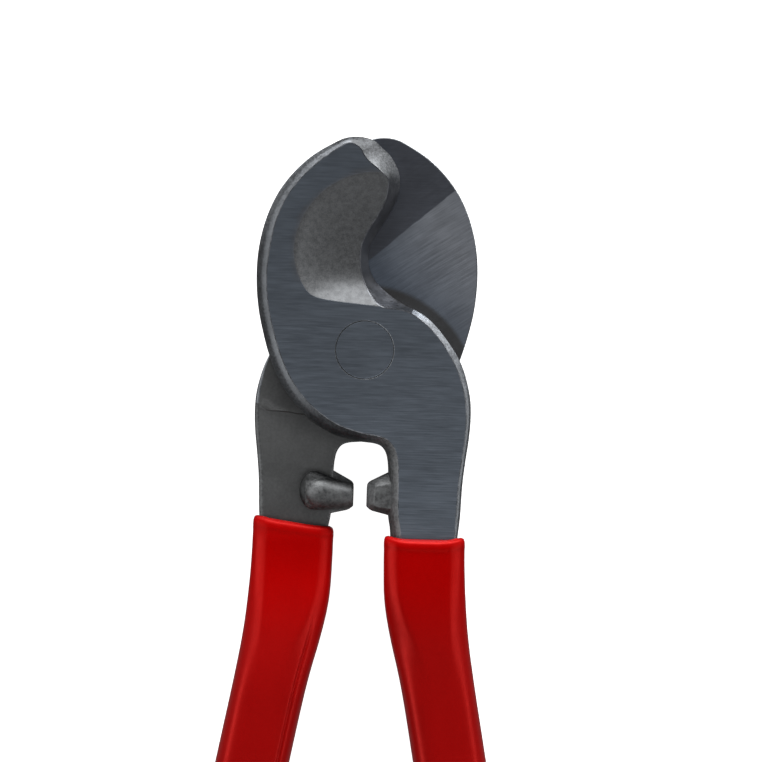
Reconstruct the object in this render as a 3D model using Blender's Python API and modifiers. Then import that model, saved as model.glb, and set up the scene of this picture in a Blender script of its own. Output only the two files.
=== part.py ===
"""Cable cutter: two lapped forgings that turn on a flush rivet, each with a slip-on grip.

The cutter lies flat. The pivot is the Z axis, the jaws point to +Y and the handles to -Y. One half is
modelled, the front one, and the rear one is the same forging turned 180 degrees about the Y axis.
"""

import math

import bmesh
import bpy
import numpy as np

MM = 0.001

# Forged half
FACE = 6.5 * MM  # outer ground face, from the plane where the halves meet
LAP_GAP = 0.15 * MM  # from that plane to each lapping face
TANG_RECESS = 0.5 * MM  # the tang's inner side lies this much behind the lapping face
OUTLINE_STEP = 2.4 * MM
BEVEL_SHARES = (0.0, 0.5, 1.0)  # where the rings of the bevel lie across its width
BEVEL_BULGE = 0.25  # how much a full bevel rises above a straight one at its middle
STRAIGHT_WALL = 1.0 * MM  # the bevel is straight above a wall of this height or less
FULL_WALL = 3.0 * MM  # and full above a wall of this height or more

# Rivet
HEAD_RADIUS = 6.6 * MM
SHANK_RADIUS = 5.0 * MM
HEAD_RIM = 0.6 * MM
COUNTERSINK = 2.2 * MM
RIVET_GAP = 0.2 * MM
RIVET_SIDES = 48

# Hollow ground into the jaw's outer face, a shallow bowl cut off by a steep wall near the pivot
BOWL_CENTRE = (2.0 * MM, 22.0 * MM)
BOWL_RADIUS = 18.7 * MM
BOWL_DEPTH = 3.5 * MM
BOWL_POWER = 2.3
WALL_Y = 10.2 * MM
WALL_SLOPE = 0.75
BOWL_BLEND = 1.8 * MM
BOWL_CUT_X = (-19.0 * MM, 12.0 * MM)  # extent of the solid that cuts it
BOWL_CUT_Y = (8.0 * MM, 42.5 * MM)
BOWL_CUT_CELLS = (15, 17)
BOWL_CUT_HEIGHT = 3.0 * MM  # of its top above the ground face
BOWL_CUT_LEAST = 1.0 * MM  # least thickness of that solid

# Slab that takes the tang's inner side back: an arc just outside the circle that the other half's disc
# covers, then the corners of the rest of its outline, clear of the tang, in mm.
RECESS_RADIUS = 21.2 * MM
RECESS_START_Y = -15.0 * MM
RECESS_SWEEP = 32.0  # degrees
RECESS_CORNERS = ((4.0, -24.0), (4.0, -50.0), (28.0, -50.0), (28.0, -13.6), (22.0, -14.6))
RECESS_BOTTOM = -1.0 * MM

# Stop lug on the inner side of the tang: stations of its boss (x, centre y, half sizes along y and z), then
# the outline of its web and the share of it that is left at the web's outer side, in mm.
BOSS = (
    (1.5, -33.8, 2.3, 2.6),
    (1.9, -33.9, 2.6, 2.9),
    (3.0, -33.95, 2.7, 3.1),
    (5.0, -33.8, 3.0, 3.3),
    (7.0, -33.5, 3.5, 3.5),
    (9.0, -33.1, 4.1, 3.6),
    (10.5, -32.8, 4.4, 3.5),
    (11.8, -32.7, 4.3, 3.1),
    (12.8, -32.65, 3.7, 2.5),
    (13.5, -32.6, 2.6, 1.7),
    (13.95, -32.6, 1.2, 0.8),
)
BOSS_SIDES = 20
WEB_BASE = ((9.4, -27.6), (6.2, -28.0), (1.6, -30.5), (1.5, -35.3), (2.4, -36.9), (6.4, -37.8), (9.4, -38.6))
WEB_CENTRE_Y = -33.3
WEB_LEVELS = ((0.75, 1.0), (2.4, 1.0), (4.4, 0.72))

# Handle core and grip
CORE_TOP_Y = -43.5 * MM
CORE_END_Y = -182.0 * MM
CORE_HALF_DEPTH = 2.7 * MM
CORE_CORNER = 1.2 * MM
GRIP_WALL = 1.9 * MM
GRIP_LENGTH = 148.0 * MM
GRIP_LIP = 0.12 * MM  # how far the rim stands out from the body of the grip
GRIP_RIM = ((0.0, 0.5 * MM), (0.5 * MM, 0.0), (1.6 * MM, 0.0), (2.6 * MM, GRIP_LIP))  # depth, shrink
GRIP_NECK = 6.0 * MM  # from the rim to the first ring of the grip's body
GRIP_MARGIN = 14.0 * MM  # from each end of the grip to the evenly spaced rings
GRIP_RINGS = 13
GRIP_NOSE = 8.0 * MM  # length of the rounded end
GRIP_NOSE_ANGLES = (25, 45, 62, 76, 86)
GRIP_NOSE_POWER = 0.6
POCKET_GAP = 0.3 * MM
MOUTH_X = 14.9 * MM  # the pocket's mouth fits the tang
MOUTH_Z = 3.575 * MM
MOUTH_HALF_WIDTH = 8.15 * MM
MOUTH_HALF_DEPTH = 3.225 * MM
MOUTH_CORNER = 0.2 * MM
MOUTH_END_Y = -46.6 * MM
MOUTH_REACH = 3.0 * MM  # how far the cutter stands out of the grip
CORE_RINGS = 16
RING_POINTS = 24

# Outline of the front half, counter-clockwise from the outer side of the tang: x, y, how far the edge of
# the ground face lies inside the outline, and the height of the plain wall under its bevel, in mm.
OUTLINE = (
    (22.6, -46.0, 0.9, 4.6),
    (22.75, -42.5, 0.9, 4.6),
    (23.15, -38.0, 0.9, 4.6),
    (23.5, -30.0, 0.9, 4.6),
    (24.05, -24.5, 1.0, 4.6),
    (24.65, -19.5, 1.0, 4.6),
    (24.9, -15.0, 1.0, 4.6),
    (24.7, -11.0, 1.0, 4.6),
    (23.85, -6.9, 1.0, 4.6),
    (22.8, -3.7, 1.1, 4.6),
    (21.45, -0.9, 1.1, 4.6),
    (19.2, 2.4, 1.2, 4.6),
    (16.4, 5.8, 1.2, 4.6),
    (14.2, 7.8, 1.2, 4.4),
    (11.9, 9.2, 1.2, 4.0),
    (9.5, 10.3, 1.4, 3.0),
    (6.6, 12.0, 2.9, 1.2),
    (3.4, 14.5, 3.8, 0.5),
    (1.5, 16.7, 4.0, 0.4),
    (0.5, 18.9, 4.0, 0.4),
    (0.2, 21.3, 4.0, 0.4),
    (0.4, 23.7, 4.0, 0.4),
    (1.3, 26.0, 4.0, 0.4),
    (3.1, 28.8, 4.0, 0.4),
    (5.5, 33.0, 4.0, 0.4),
    (6.6, 36.2, 4.0, 0.4),
    (6.9, 38.7, 4.0, 0.4),
    (6.4, 41.6, 4.0, 0.4),
    (4.4, 45.0, 3.8, 0.5),
    (0.75, 48.2, 3.1, 1.0),
    (-3.6, 49.05, 2.4, 2.4),
    (-8.2, 47.65, 2.55, 3.0),
    (-13.15, 44.6, 2.55, 3.0),
    (-17.4, 40.65, 2.55, 3.0),
    (-20.95, 35.8, 2.55, 3.0),
    (-23.6, 29.7, 2.55, 3.0),
    (-25.1, 23.05, 2.55, 3.0),
    (-25.45, 16.5, 2.45, 3.0),
    (-24.85, 9.4, 2.45, 3.0),
    (-23.5, 3.25, 2.45, 3.0),
    (-21.75, -2.4, 2.45, 3.0),
    (-19.6, -7.2, 2.45, 3.0),
    (-16.25, -12.2, 2.45, 3.0),
    (-12.1, -16.2, 2.45, 3.0),
    (-7.1, -19.4, 2.45, 3.0),
    (-1.0, -21.0, 2.0, 3.0),
    (3.6, -21.5, 1.8, 3.0),
    (5.4, -22.8, 2.2, 2.4),
    (6.1, -25.4, 2.3, 2.0),
    (6.3, -28.5, 2.4, 2.0),
    (6.6, -38.0, 2.4, 2.0),
    (7.1, -41.0, 2.4, 2.0),
    (7.4, -46.0, 2.4, 2.0),
)

# Handle of the front half: y, centre x and z, half width and half thickness of the grip, all in mm, and
# how square its section is.
HANDLE = (
    (-38.0, 15.1, 3.5, 9.3, 5.1, 8.0),
    (-50.0, 15.3, 3.2, 9.4, 5.4, 7.0),
    (-58.0, 15.8, 2.4, 9.45, 6.1, 5.0),
    (-66.0, 17.0, 1.4, 9.1, 6.8, 4.0),
    (-76.0, 19.1, 0.4, 8.65, 7.3, 3.4),
    (-90.0, 21.8, 0.0, 8.55, 7.5, 3.2),
    (-110.0, 25.4, 0.0, 8.65, 7.6, 3.1),
    (-130.0, 28.5, 0.0, 8.8, 7.7, 3.1),
    (-150.0, 30.6, 0.0, 8.95, 7.8, 3.1),
    (-170.0, 31.4, 0.0, 8.75, 7.6, 3.1),
    (-200.0, 31.3, 0.0, 7.85, 7.0, 3.1),
)
# Where each grip starts, and how much lower its rim is on the inner side than on the outer side.
FRONT_GRIP_TOP = -42.9 * MM
FRONT_GRIP_TILT = 0.2 * MM
REAR_GRIP_TOP = -40.1 * MM
REAR_GRIP_TILT = 2.2 * MM


def clear_scene():
    for obj in list(bpy.data.objects):
        bpy.data.objects.remove(obj, do_unlink=True)


def new_collection(name):
    collection = bpy.data.collections.new(name)
    bpy.context.scene.collection.children.link(collection)
    return collection


def new_material(name, colour, metallic, roughness):
    material = bpy.data.materials.new(name)
    material.use_nodes = True
    shader = material.node_tree.nodes["Principled BSDF"]
    shader.inputs["Base Color"].default_value = (*colour, 1.0)
    shader.inputs["Metallic"].default_value = metallic
    shader.inputs["Roughness"].default_value = roughness
    return material


def new_object(name, mesh, collection, parent=None):
    obj = bpy.data.objects.new(name, mesh)
    collection.objects.link(obj)
    obj.parent = parent
    return obj


def helper(name, mesh, parent):
    """A solid that only a Boolean modifier uses."""
    obj = new_object(name, mesh, bpy.data.collections["cutters"], parent)
    obj.hide_render = True
    obj.display_type = "WIRE"
    return obj


def add_boolean(obj, other, operation):
    modifier = obj.modifiers.new(other.name, "BOOLEAN")
    modifier.operation = operation
    modifier.object = other


def mesh_from(bm, name):
    bmesh.ops.recalc_face_normals(bm, faces=bm.faces)
    mesh = bpy.data.meshes.new(name)
    bm.to_mesh(mesh)
    bm.free()
    return mesh


def shade(obj, angle=40.0):
    obj.data.shade_smooth()
    obj.data.set_sharp_from_angle(angle=math.radians(angle))


def spline(knots, step):
    """Points on a centripetal Catmull-Rom curve through the knots. Any columns after x and y follow them."""
    knots = np.array(knots, float)
    ends = (2 * knots[0] - knots[1], 2 * knots[-1] - knots[-2])
    padded = np.vstack((ends[0], knots, ends[1]))
    points = []
    for start in range(len(knots) - 1):
        p = padded[start : start + 4]
        gaps = np.linalg.norm(np.diff(p[:, :2], axis=0), axis=1) ** 0.5
        t = np.concatenate(((0.0,), np.cumsum(gaps)))
        count = max(1, round(np.linalg.norm(p[2, :2] - p[1, :2]) / step))
        for u in np.linspace(t[1], t[2], count, endpoint=False):
            a = [((t[i + 1] - u) * p[i] + (u - t[i]) * p[i + 1]) / (t[i + 1] - t[i]) for i in range(3)]
            b = [((t[i + 2] - u) * a[i] + (u - t[i]) * a[i + 1]) / (t[i + 2] - t[i]) for i in range(2)]
            points.append(((t[2] - u) * b[0] + (u - t[1]) * b[1]) / (t[2] - t[1]))
    points.append(knots[-1])
    return np.array(points)


HANDLE_TABLE = spline(HANDLE, 3.0)


def outward(points):
    """Unit normals that point out of a counter-clockwise ring."""
    along = np.roll(points, -1, axis=0) - np.roll(points, 1, axis=0)
    normals = np.stack((along[:, 1], -along[:, 0]), axis=1)
    return normals / np.linalg.norm(normals, axis=1, keepdims=True)


def loft(rings, name):
    """A closed solid through rings of equally many points, with a flat cap at each end."""
    bm = bmesh.new()
    loops = [[bm.verts.new(point) for point in ring] for ring in rings]
    count = len(loops[0])
    for low, high in zip(loops, loops[1:]):
        for i in range(count):
            j = (i + 1) % count
            bm.faces.new((low[i], low[j], high[j], high[i]))
    bm.faces.new(loops[0])
    bm.faces.new(loops[-1])
    return mesh_from(bm, name)


def turned(name, profile, sides, collection, parent=None):
    """A solid of revolution about Z from (radius, z) pairs, which run down its outer side."""
    bm = bmesh.new()
    verts = [bm.verts.new((radius, 0.0, z)) for radius, z in profile]
    for above, below in zip(verts, verts[1:]):
        bm.edges.new((above, below))
    mesh = bpy.data.meshes.new(name)
    bm.to_mesh(mesh)
    bm.free()
    obj = new_object(name, mesh, collection, parent)
    screw = obj.modifiers.new("turn", "SCREW")
    screw.steps = sides
    screw.render_steps = sides
    screw.use_merge_vertices = True
    screw.merge_threshold = 0.01 * MM
    return obj


def half_outline():
    """Outline, face inset and wall height of the front half, in metres, and its outward normals."""
    table = spline(np.array(OUTLINE) * MM, OUTLINE_STEP)
    return table[:, :2], table[:, 2], table[:, 3], outward(table[:, :2])


def head_mesh(name):
    """Jaw, lap disc and tang: a flat lapping face, a plain wall, and a bevel up to the ground face."""
    points, inset, wall, normals = half_outline()
    # The bevel is straight along the cutting edge, where the wall is low, and full elsewhere.
    fullness = np.clip((wall - STRAIGHT_WALL) / (FULL_WALL - STRAIGHT_WALL), 0.0, 1.0)
    levels = []
    for share in BEVEL_SHARES:
        rise = share + BEVEL_BULGE * fullness * math.sin(math.pi * share)
        levels.append((points - normals * (inset * share)[:, None], wall + (FACE - wall) * rise))
    rings = [[(x, y, LAP_GAP) for x, y in points]]
    rings += [[(x, y, z) for (x, y), z in zip(*level)] for level in levels]
    return loft(rings, name)


def bowl_floor(x, y):
    """Height of the hollow at a point of the jaw. It lies above the ground face outside the bowl."""
    radius = math.hypot(x - BOWL_CENTRE[0], y - BOWL_CENTRE[1]) / BOWL_RADIUS
    bowl = BOWL_DEPTH * (1.0 - radius**BOWL_POWER)
    wall = (y - WALL_Y) * WALL_SLOPE
    mean, apart = (bowl + wall) / 2, (bowl - wall) / 2
    return FACE - mean + math.hypot(apart, BOWL_BLEND / 2)


def bowl_mesh(name):
    """Solid above the hollow's floor, which the jaw is cut with."""
    (west, east), (south, north) = BOWL_CUT_X, BOWL_CUT_Y
    top = FACE + BOWL_CUT_HEIGHT
    bm = bmesh.new()
    bmesh.ops.create_grid(bm, x_segments=BOWL_CUT_CELLS[0], y_segments=BOWL_CUT_CELLS[1], size=0.5)
    for vert in bm.verts:
        vert.co.x = west + (vert.co.x + 0.5) * (east - west)
        vert.co.y = south + (vert.co.y + 0.5) * (north - south)
        vert.co.z = min(bowl_floor(vert.co.x, vert.co.y), top - BOWL_CUT_LEAST)
    raised = bmesh.ops.extrude_face_region(bm, geom=bm.faces[:], use_keep_orig=True)
    for item in raised["geom"]:
        if isinstance(item, bmesh.types.BMVert):
            item.co.z = top
    return mesh_from(bm, name)


def recess_mesh(name):
    """Slab that takes the tang's inner side back, outside the circle that the other half's disc covers."""
    start = math.asin(RECESS_START_Y / RECESS_RADIUS)
    arc = [start - share * math.radians(RECESS_SWEEP) for share in np.linspace(0.0, 1.0, 9)]
    points = [(RECESS_RADIUS * math.cos(a), RECESS_RADIUS * math.sin(a)) for a in arc]
    points += [(x * MM, y * MM) for x, y in RECESS_CORNERS]
    heights = (RECESS_BOTTOM, LAP_GAP + TANG_RECESS)
    return loft([[(x, y, z) for x, y in points] for z in heights], name)


def web_mesh(name):
    """Drafted web that carries the boss, lower than the ground face."""
    rings = []
    for z, share in WEB_LEVELS:
        ring = [(x, WEB_CENTRE_Y + (y - WEB_CENTRE_Y) * share) for x, y in WEB_BASE]
        rings.append([(x * MM, y * MM, z * MM) for x, y in ring])
    return loft(rings, name)


def boss_mesh(name):
    """Egg-shaped boss along X, flat where the lugs meet and ball-shaped where it runs out on the tang."""
    rings = []
    for x, centre, across, up in np.array(BOSS) * MM:
        angles = [2 * math.pi * i / BOSS_SIDES for i in range(BOSS_SIDES)]
        rings.append([(x, centre + across * math.cos(a), up * math.sin(a)) for a in angles])
    return loft(rings, name)


def handle_at(y):
    """Centre x and z, half width, half thickness and squareness of the grip at a place along the tool."""
    along = -HANDLE_TABLE[:, 0]
    x, z, width, depth = (np.interp(-y / MM, along, HANDLE_TABLE[:, i]) * MM for i in (1, 2, 3, 4))
    return x, z, width, depth, np.interp(-y / MM, along, HANDLE_TABLE[:, 5])


def oval(y, shrink, scale=1.0, tilt=0.0):
    """Ring across the grip at y: a rounded rectangle, shrunk all round, whose inner side can lie lower."""
    x, z, width, depth, power = handle_at(y)
    ring = []
    for i in range(RING_POINTS):
        angle = 2 * math.pi * (i + 0.5) / RING_POINTS
        cos, sin = math.cos(angle), math.sin(angle)
        px = math.copysign(abs(cos) ** (2 / power), cos) * (width - shrink) * scale
        pz = math.copysign(abs(sin) ** (2 / power), sin) * (depth - shrink) * scale
        ring.append((x + px, y + tilt * px / (2 * width), z + pz))
    return ring


def block_ring(y, x, z, half_width, half_depth, corner):
    """Ring across a bar at y, with its four corners cut."""
    ring = []
    for sx, sz in ((1, 1), (-1, 1), (-1, -1), (1, -1)):
        cut = [(half_width, half_depth - corner), (half_width - corner, half_depth)]
        for px, pz in cut if sx * sz > 0 else cut[::-1]:
            ring.append((x + sx * px, y, z + sz * pz))
    return ring


def core_rings(gap):
    """Rings down the steel core of the handle, made larger by a gap all round and at its end."""
    rings = []
    for y in np.linspace(CORE_TOP_Y, CORE_END_Y, CORE_RINGS):
        x, z, width, _, _ = handle_at(y)
        if y == CORE_END_Y:
            y -= gap
        rings.append(block_ring(y, x, z, width - GRIP_WALL + gap, CORE_HALF_DEPTH + gap, CORE_CORNER))
    return rings


def pocket_mesh(name, top):
    """Hollow of a grip: the tang's section at its mouth, and then the core's."""
    mouth = []
    for y in (top + MOUTH_REACH, MOUTH_END_Y):
        mouth.append(block_ring(y, MOUTH_X, MOUTH_Z, MOUTH_HALF_WIDTH, MOUTH_HALF_DEPTH, MOUTH_CORNER))
    return loft(mouth + core_rings(POCKET_GAP)[1:], name)


def grip_mesh(name, top, tilt):
    """Outer shape of a grip: a rolled rim, a body that follows the handle, and a rounded end."""
    end = top - GRIP_LENGTH
    rings = [oval(top - depth, shrink, tilt=tilt) for depth, shrink in GRIP_RIM]
    stations = [top - GRIP_NECK] + list(np.linspace(top - GRIP_MARGIN, end + GRIP_MARGIN, GRIP_RINGS))
    rings += [oval(y, GRIP_LIP) for y in stations]
    for angle in GRIP_NOSE_ANGLES:
        turn = math.radians(angle)
        y = end + GRIP_NOSE * (1 - math.sin(turn))
        rings.append(oval(y, GRIP_LIP, math.cos(turn) ** GRIP_NOSE_POWER))
    return loft(rings, name)


def build_blade(name, half, material):
    """One forging, with its hollow, recess, lug, core and rivet hole."""
    blade = new_object(name, head_mesh(name), bpy.data.collections["cable_cutter"], half)
    blade.data.materials.append(material)
    add_boolean(blade, helper(f"{name}_bowl", bowl_mesh("bowl"), half), "DIFFERENCE")
    add_boolean(blade, helper(f"{name}_recess", recess_mesh("recess"), half), "DIFFERENCE")
    add_boolean(blade, helper(f"{name}_web", web_mesh("web"), half), "UNION")
    add_boolean(blade, helper(f"{name}_boss", boss_mesh("boss"), half), "UNION")
    add_boolean(blade, helper(f"{name}_core", loft(core_rings(0.0), "core"), half), "UNION")
    shade(blade)
    return blade


def rivet_profile(gap, reach):
    """Half section of the rivet, or of its hole when gap is above zero."""
    head, shank = HEAD_RADIUS + gap, SHANK_RADIUS + gap
    rim = FACE - HEAD_RIM
    neck = rim - COUNTERSINK
    upper = [(0.0, FACE + reach), (head, FACE + reach), (head, rim), (shank, neck)]
    return upper + [(radius, -z) for radius, z in reversed(upper)]


def build_grip(name, half, top, tilt, material):
    grip = new_object(name, grip_mesh(name, top, tilt), bpy.data.collections["cable_cutter"], half)
    grip.data.materials.append(material)
    add_boolean(grip, helper(f"{name}_pocket", pocket_mesh("pocket", top), half), "DIFFERENCE")
    shade(grip, 50.0)


clear_scene()
parts = new_collection("cable_cutter")
cutters = new_collection("cutters")
steel = new_material("ground_steel", (0.075, 0.085, 0.1), 1.0, 0.42)
pvc = new_material("red_pvc", (0.42, 0.008, 0.008), 0.0, 0.3)

# The two halves' pivots sit one face height above the origin, so the back face lies in the plane z = 0.
front_half = new_object("front_half_pivot", None, parts)
rear_half = new_object("rear_half_pivot", None, parts)
rear_half.rotation_euler = (0.0, math.pi, 0.0)
for half in (front_half, rear_half):
    half.location = (0.0, 0.0, FACE)

hole = turned("rivet_hole", rivet_profile(RIVET_GAP, 1.0 * MM), RIVET_SIDES, cutters, rear_half)
hole.hide_render = True
hole.display_type = "WIRE"
rivet = turned("pivot_rivet", rivet_profile(0.0, 0.0), RIVET_SIDES, parts, rear_half)
rivet.data.materials.append(steel)

for side, half, top, tilt in (
    ("front", front_half, FRONT_GRIP_TOP, FRONT_GRIP_TILT),
    ("rear", rear_half, REAR_GRIP_TOP, REAR_GRIP_TILT),
):
    blade = build_blade(f"{side}_blade", half, steel)
    add_boolean(blade, hole, "DIFFERENCE")
    build_grip(f"{side}_grip", half, top, tilt, pvc)
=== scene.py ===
"""Cable cutter flat on a pale floor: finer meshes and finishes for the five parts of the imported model.

One half is modelled in its own frame, with the pivot along Z, the plane where the halves meet at z = 0 and
the ground face at z = FACE. The rear half is the same forging turned 180 degrees about Y.
"""

import math

import bmesh
import bpy
import numpy as np
from mathutils import Matrix, Vector
from mathutils.geometry import delaunay_2d_cdt


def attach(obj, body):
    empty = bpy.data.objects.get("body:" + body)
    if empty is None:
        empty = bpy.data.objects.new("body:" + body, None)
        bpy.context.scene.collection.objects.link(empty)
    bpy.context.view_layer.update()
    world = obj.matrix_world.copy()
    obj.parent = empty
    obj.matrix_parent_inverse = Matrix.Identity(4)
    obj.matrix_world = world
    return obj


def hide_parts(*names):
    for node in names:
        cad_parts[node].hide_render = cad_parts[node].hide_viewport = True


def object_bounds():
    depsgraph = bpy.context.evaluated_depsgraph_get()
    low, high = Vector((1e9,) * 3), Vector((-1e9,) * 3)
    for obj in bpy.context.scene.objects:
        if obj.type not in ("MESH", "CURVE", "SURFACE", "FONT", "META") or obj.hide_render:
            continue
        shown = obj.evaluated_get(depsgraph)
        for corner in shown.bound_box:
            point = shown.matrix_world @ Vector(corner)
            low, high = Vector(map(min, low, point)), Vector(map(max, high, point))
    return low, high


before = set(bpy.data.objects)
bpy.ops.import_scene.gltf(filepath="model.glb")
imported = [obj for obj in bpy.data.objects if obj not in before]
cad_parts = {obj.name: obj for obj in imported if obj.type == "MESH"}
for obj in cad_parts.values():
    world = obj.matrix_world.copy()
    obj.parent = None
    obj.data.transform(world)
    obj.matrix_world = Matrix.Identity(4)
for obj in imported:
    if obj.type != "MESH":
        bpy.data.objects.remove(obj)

MM = 0.001
CAD_BOX = [list(corner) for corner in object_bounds()]

# Forged half
FACE = 6.5 * MM
LAP_GAP = 0.15 * MM
RECESS = 0.5 * MM
OUTLINE_STEP = 0.5 * MM
SUPPORT = 0.12 * MM  # distance from a crease to the edge loops that keep it tight
WORN_WIDTH = 0.2 * MM
SLIVER = 0.001 * MM  # the unions leave faces thinner than this
HOLE_RADIUS = 6.74 * MM
SHANK_HOLE = 5.2 * MM
HOLE_SIDES = 144
HOLE_DEPTH = 0.7 * MM  # where the countersink begins under the face
SINK_DEPTH = 2.9 * MM  # where the countersink meets the shank's hole
CUTTING_FROM = (-4.0 * MM, 9.5 * MM)  # the bevel is a cutting edge beyond this x and y
FORGED_BELOW = (10.0 * MM, -21.6 * MM)  # the bevel is as forged at less than this x and y
SHARP_ANGLE = math.radians(58)

# Hollow ground into the jaw
BOWL_CENTRE = (2.0 * MM, 22.0 * MM)
BOWL_RADIUS = 18.7 * MM
BOWL_DEPTH = 3.5 * MM
BOWL_POWER = 2.8
BOWL_HEART = (-3.0 * MM, 24.0 * MM)
WALL_Y = 10.1 * MM
WALL_TILT = -0.075
WALL_SLOPE = 0.58
WALL_STRAIGHT = 4.5 * MM
WALL_CURVED = 6.5 * MM
BOWL_BLEND = 1.2 * MM
BOWL_GRID = 0.45 * MM
BOWL_EDGE_STEP = 0.35 * MM
BOWL_EDGE_LOOPS = (-0.35 * MM, -0.12 * MM, 0.0, 0.12 * MM, 0.35 * MM)  # how far out of the edge they lie
BOWL_SWEEP = (math.radians(-72), math.radians(-290))  # directions from the heart where the edge runs
BOWL_X = (-20.0 * MM, 8.0 * MM)
BOWL_Y = (8.0 * MM, 43.0 * MM)

# Outline of the front half, counter-clockwise from the outer side of the tang: x, y, how far in from the
# outline its bevel ends, how far that end is moved along the outline, height of the wall under the bevel,
# how full the bevel is (0 flat, 1 rounded), and the width of the break on the lapping side, in mm.
OUTLINE = (
    (22.6, -46.0, 0.6, 0.0, 5.5, 1.0, 0.9),
    (22.75, -42.5, 0.6, 0.0, 5.5, 1.0, 0.9),
    (23.15, -38.0, 0.85, 0.0, 5.5, 1.0, 0.9),
    (23.5, -30.0, 0.85, 0.0, 5.5, 1.0, 0.9),
    (24.05, -24.5, 0.85, 0.0, 5.5, 1.0, 0.9),
    (24.65, -19.5, 0.85, 0.0, 5.5, 1.0, 0.9),
    (24.9, -15.0, 0.95, 0.0, 5.5, 1.0, 0.9),
    (24.7, -11.0, 1.05, 0.0, 5.5, 0.8, 0.8),
    (23.85, -6.9, 1.15, 0.0, 5.4, 0.6, 0.6),
    (22.8, -3.7, 1.25, 0.0, 5.4, 0.4, 0.3),
    (21.45, -0.9, 1.35, 0.0, 5.4, 0.2, 0.15),
    (19.2, 2.4, 1.2, 0.0, 5.3, 0.0, 0.1),
    (16.4, 5.8, 1.2, 0.0, 5.2, 0.0, 0.1),
    (14.2, 7.8, 1.2, 0.0, 5.0, 0.0, 0.1),
    (11.9, 9.2, 1.1, 0.0, 4.4, 0.0, 0.1),
    (9.5, 10.3, 1.1, 0.1, 3.0, 0.0, 0.1),
    (8.1, 11.1, 2.0, 0.7, 1.8, 0.0, 0.06),
    (6.6, 12.0, 3.2, 1.2, 0.8, 0.0, 0.06),
    (3.4, 14.5, 3.8, 0.4, 0.4, 0.0, 0.05),
    (1.5, 16.7, 4.0, 0.0, 0.4, 0.0, 0.05),
    (0.5, 18.9, 4.0, 0.0, 0.4, 0.0, 0.05),
    (0.2, 21.3, 4.0, 0.0, 0.4, 0.0, 0.05),
    (0.4, 23.7, 4.0, 0.0, 0.4, 0.0, 0.05),
    (1.3, 26.0, 4.0, 0.0, 0.4, 0.0, 0.05),
    (3.1, 28.8, 4.0, 0.0, 0.4, 0.0, 0.05),
    (5.5, 33.0, 3.6, 0.0, 0.4, 0.0, 0.05),
    (6.6, 36.2, 3.3, 0.0, 0.4, 0.0, 0.05),
    (6.9, 38.7, 3.0, 0.0, 0.4, 0.0, 0.05),
    (6.4, 41.6, 3.0, -1.2, 0.6, 0.0, 0.05),
    (4.4, 45.0, 4.0, -0.7, 1.5, 0.0, 0.05),
    (2.5, 46.7, 4.2, 0.45, 2.3, 0.1, 0.05),
    (0.75, 48.2, 3.55, 0.95, 3.0, 0.2, 0.1),
    (-1.4, 48.9, 2.3, 1.0, 3.5, 0.3, 0.1),
    (-3.0, 49.03, 1.6, 0.9, 4.0, 0.5, 0.1),
    (-4.3, 49.0, 1.3, 0.5, 4.4, 0.7, 0.1),
    (-6.2, 48.6, 1.25, 0.1, 4.6, 0.85, 0.1),
    (-8.2, 47.65, 1.45, 0.0, 4.3, 1.0, 0.1),
    (-13.15, 44.6, 1.95, 0.0, 3.6, 1.0, 0.1),
    (-17.4, 40.65, 2.1, 0.0, 3.3, 1.0, 0.1),
    (-20.95, 35.8, 2.15, 0.0, 3.2, 1.0, 0.1),
    (-23.6, 29.7, 2.25, 0.0, 3.1, 1.0, 0.1),
    (-25.1, 23.05, 2.45, 0.0, 3.0, 1.0, 0.1),
    (-25.45, 16.5, 2.25, 0.0, 3.0, 1.0, 0.1),
    (-24.85, 9.4, 2.25, 0.0, 3.0, 1.0, 0.1),
    (-23.5, 3.25, 2.35, 0.0, 3.0, 1.0, 0.1),
    (-21.75, -2.4, 2.45, 0.0, 3.0, 1.0, 0.1),
    (-19.6, -7.2, 2.45, 0.0, 3.0, 1.0, 0.1),
    (-16.25, -12.2, 2.45, 0.0, 3.0, 1.0, 0.1),
    (-12.1, -16.2, 2.45, 0.0, 3.0, 1.0, 0.1),
    (-7.1, -19.4, 2.45, 0.0, 3.0, 1.0, 0.1),
    (-1.0, -21.0, 2.0, 0.0, 3.0, 1.0, 0.1),
    (3.2, -21.5, 1.8, 0.0, 3.0, 1.0, 0.1),
    (4.6, -22.1, 2.0, 0.0, 2.6, 1.0, 0.3),
    (5.6, -23.5, 2.2, 0.0, 2.2, 1.0, 0.5),
    (6.1, -25.6, 2.3, 0.0, 2.0, 1.0, 0.5),
    (6.3, -28.5, 2.3, 0.0, 2.0, 1.0, 0.5),
    (6.6, -38.0, 2.3, 0.0, 2.0, 1.0, 0.5),
    (7.1, -41.0, 2.3, 0.0, 2.0, 1.0, 0.5),
    (7.4, -46.0, 2.3, 0.0, 2.0, 1.0, 0.5),
)

# Shares of the bevel's width where its edge loops lie, and how high a full bevel is there.
BEVEL_SHARES = (0.0, 0.04, 0.2, 0.4, 0.5, 0.6, 0.8, 0.95, 1.0)
BEVEL_FULL = (0.0, 0.13, 0.42, 0.66, 0.75, 0.815, 0.912, 0.98, 1.0)
# Break on the lapping side: shares of its width in from the outline and up from the lapping plane.
UNDER_ROUND = ((1.0, 0.0), (0.55, 0.12), (0.25, 0.35), (0.06, 0.7), (0.0, 1.0))

# Step on the tang's inner side, from the outer side to where the other half's disc covers it.
STEP_LINE = ((22.1, -14.4), (17.0, -14.7), (15.0, -15.0))
STEP_ARC_RADIUS = 20.3 * MM
STEP_ARC_TURN = math.radians(31.0)
STEP_START = (24.45, -13.4)
STEP_END = (1.0, -21.25)
STEP_SHIFT = (-0.06 * MM, -0.3 * MM)  # from the step's upper edge to its lower edge

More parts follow.
